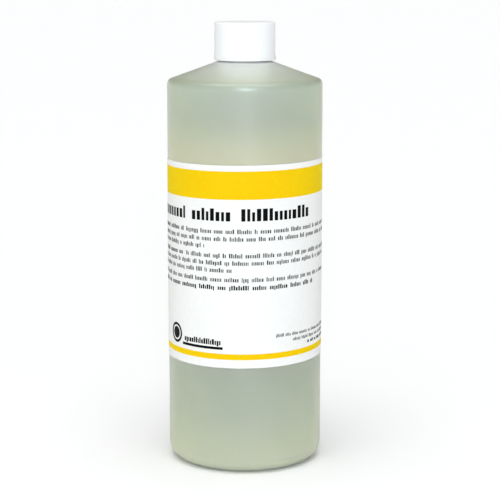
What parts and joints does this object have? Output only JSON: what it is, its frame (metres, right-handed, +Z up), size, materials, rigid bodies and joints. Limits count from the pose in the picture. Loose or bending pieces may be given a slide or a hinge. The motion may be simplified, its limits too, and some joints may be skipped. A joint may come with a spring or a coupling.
{
  "type": "photographic fixer bottle",
  "caption": "Tall cylindrical plastic bottle of liquid photographic fixer with a conical shoulder, a ribbed screw cap with a sealing disc, and a wrap label.",
  "frame": {"origin": "centre of the bottle's standing ring, on the surface it stands on", "axes": "+Z up along the bottle's axis towards the cap, -Y out of the middle of the label's front, +X to the right of a viewer who faces the label"},
  "size_m": [0.0824, 0.0822, 0.234],
  "materials": {
    "natural_plastic": "translucent blow-moulded polyethylene, satin outside",
    "label_paper": "white coated paper label with printed yellow bands, semi-gloss",
    "fixer_solution": "clear liquid, faintly yellow green",
    "foam_liner": "white closed-cell foam disc",
    "white_plastic": "injection-moulded white polypropylene, satin, finely ribbed"
  },
  "bodies": {
    "bottle": {"bottle": "natural_plastic", "label": "label_paper", "fixer_liquid": "fixer_solution"},
    "liner": {"cap_liner": "foam_liner"},
    "cap": {"cap": "white_plastic"}
  },
  "joints": [
    {"name": "cap_rise", "type": "slide", "parent": "bottle", "child": "liner", "axis": [0, 0, 1], "range_m": [0, 0.0212]},
    {"name": "cap_turn", "type": "hinge", "parent": "liner", "child": "cap", "pos_m": [0, 0, 0.2142], "axis": [0, 0, 1], "range_deg": [0, 1800]}
  ],
  "couplings": [
    {"joint": "cap_rise", "follows": "cap_turn", "m_per_rad": 0.00067376}
  ]
}
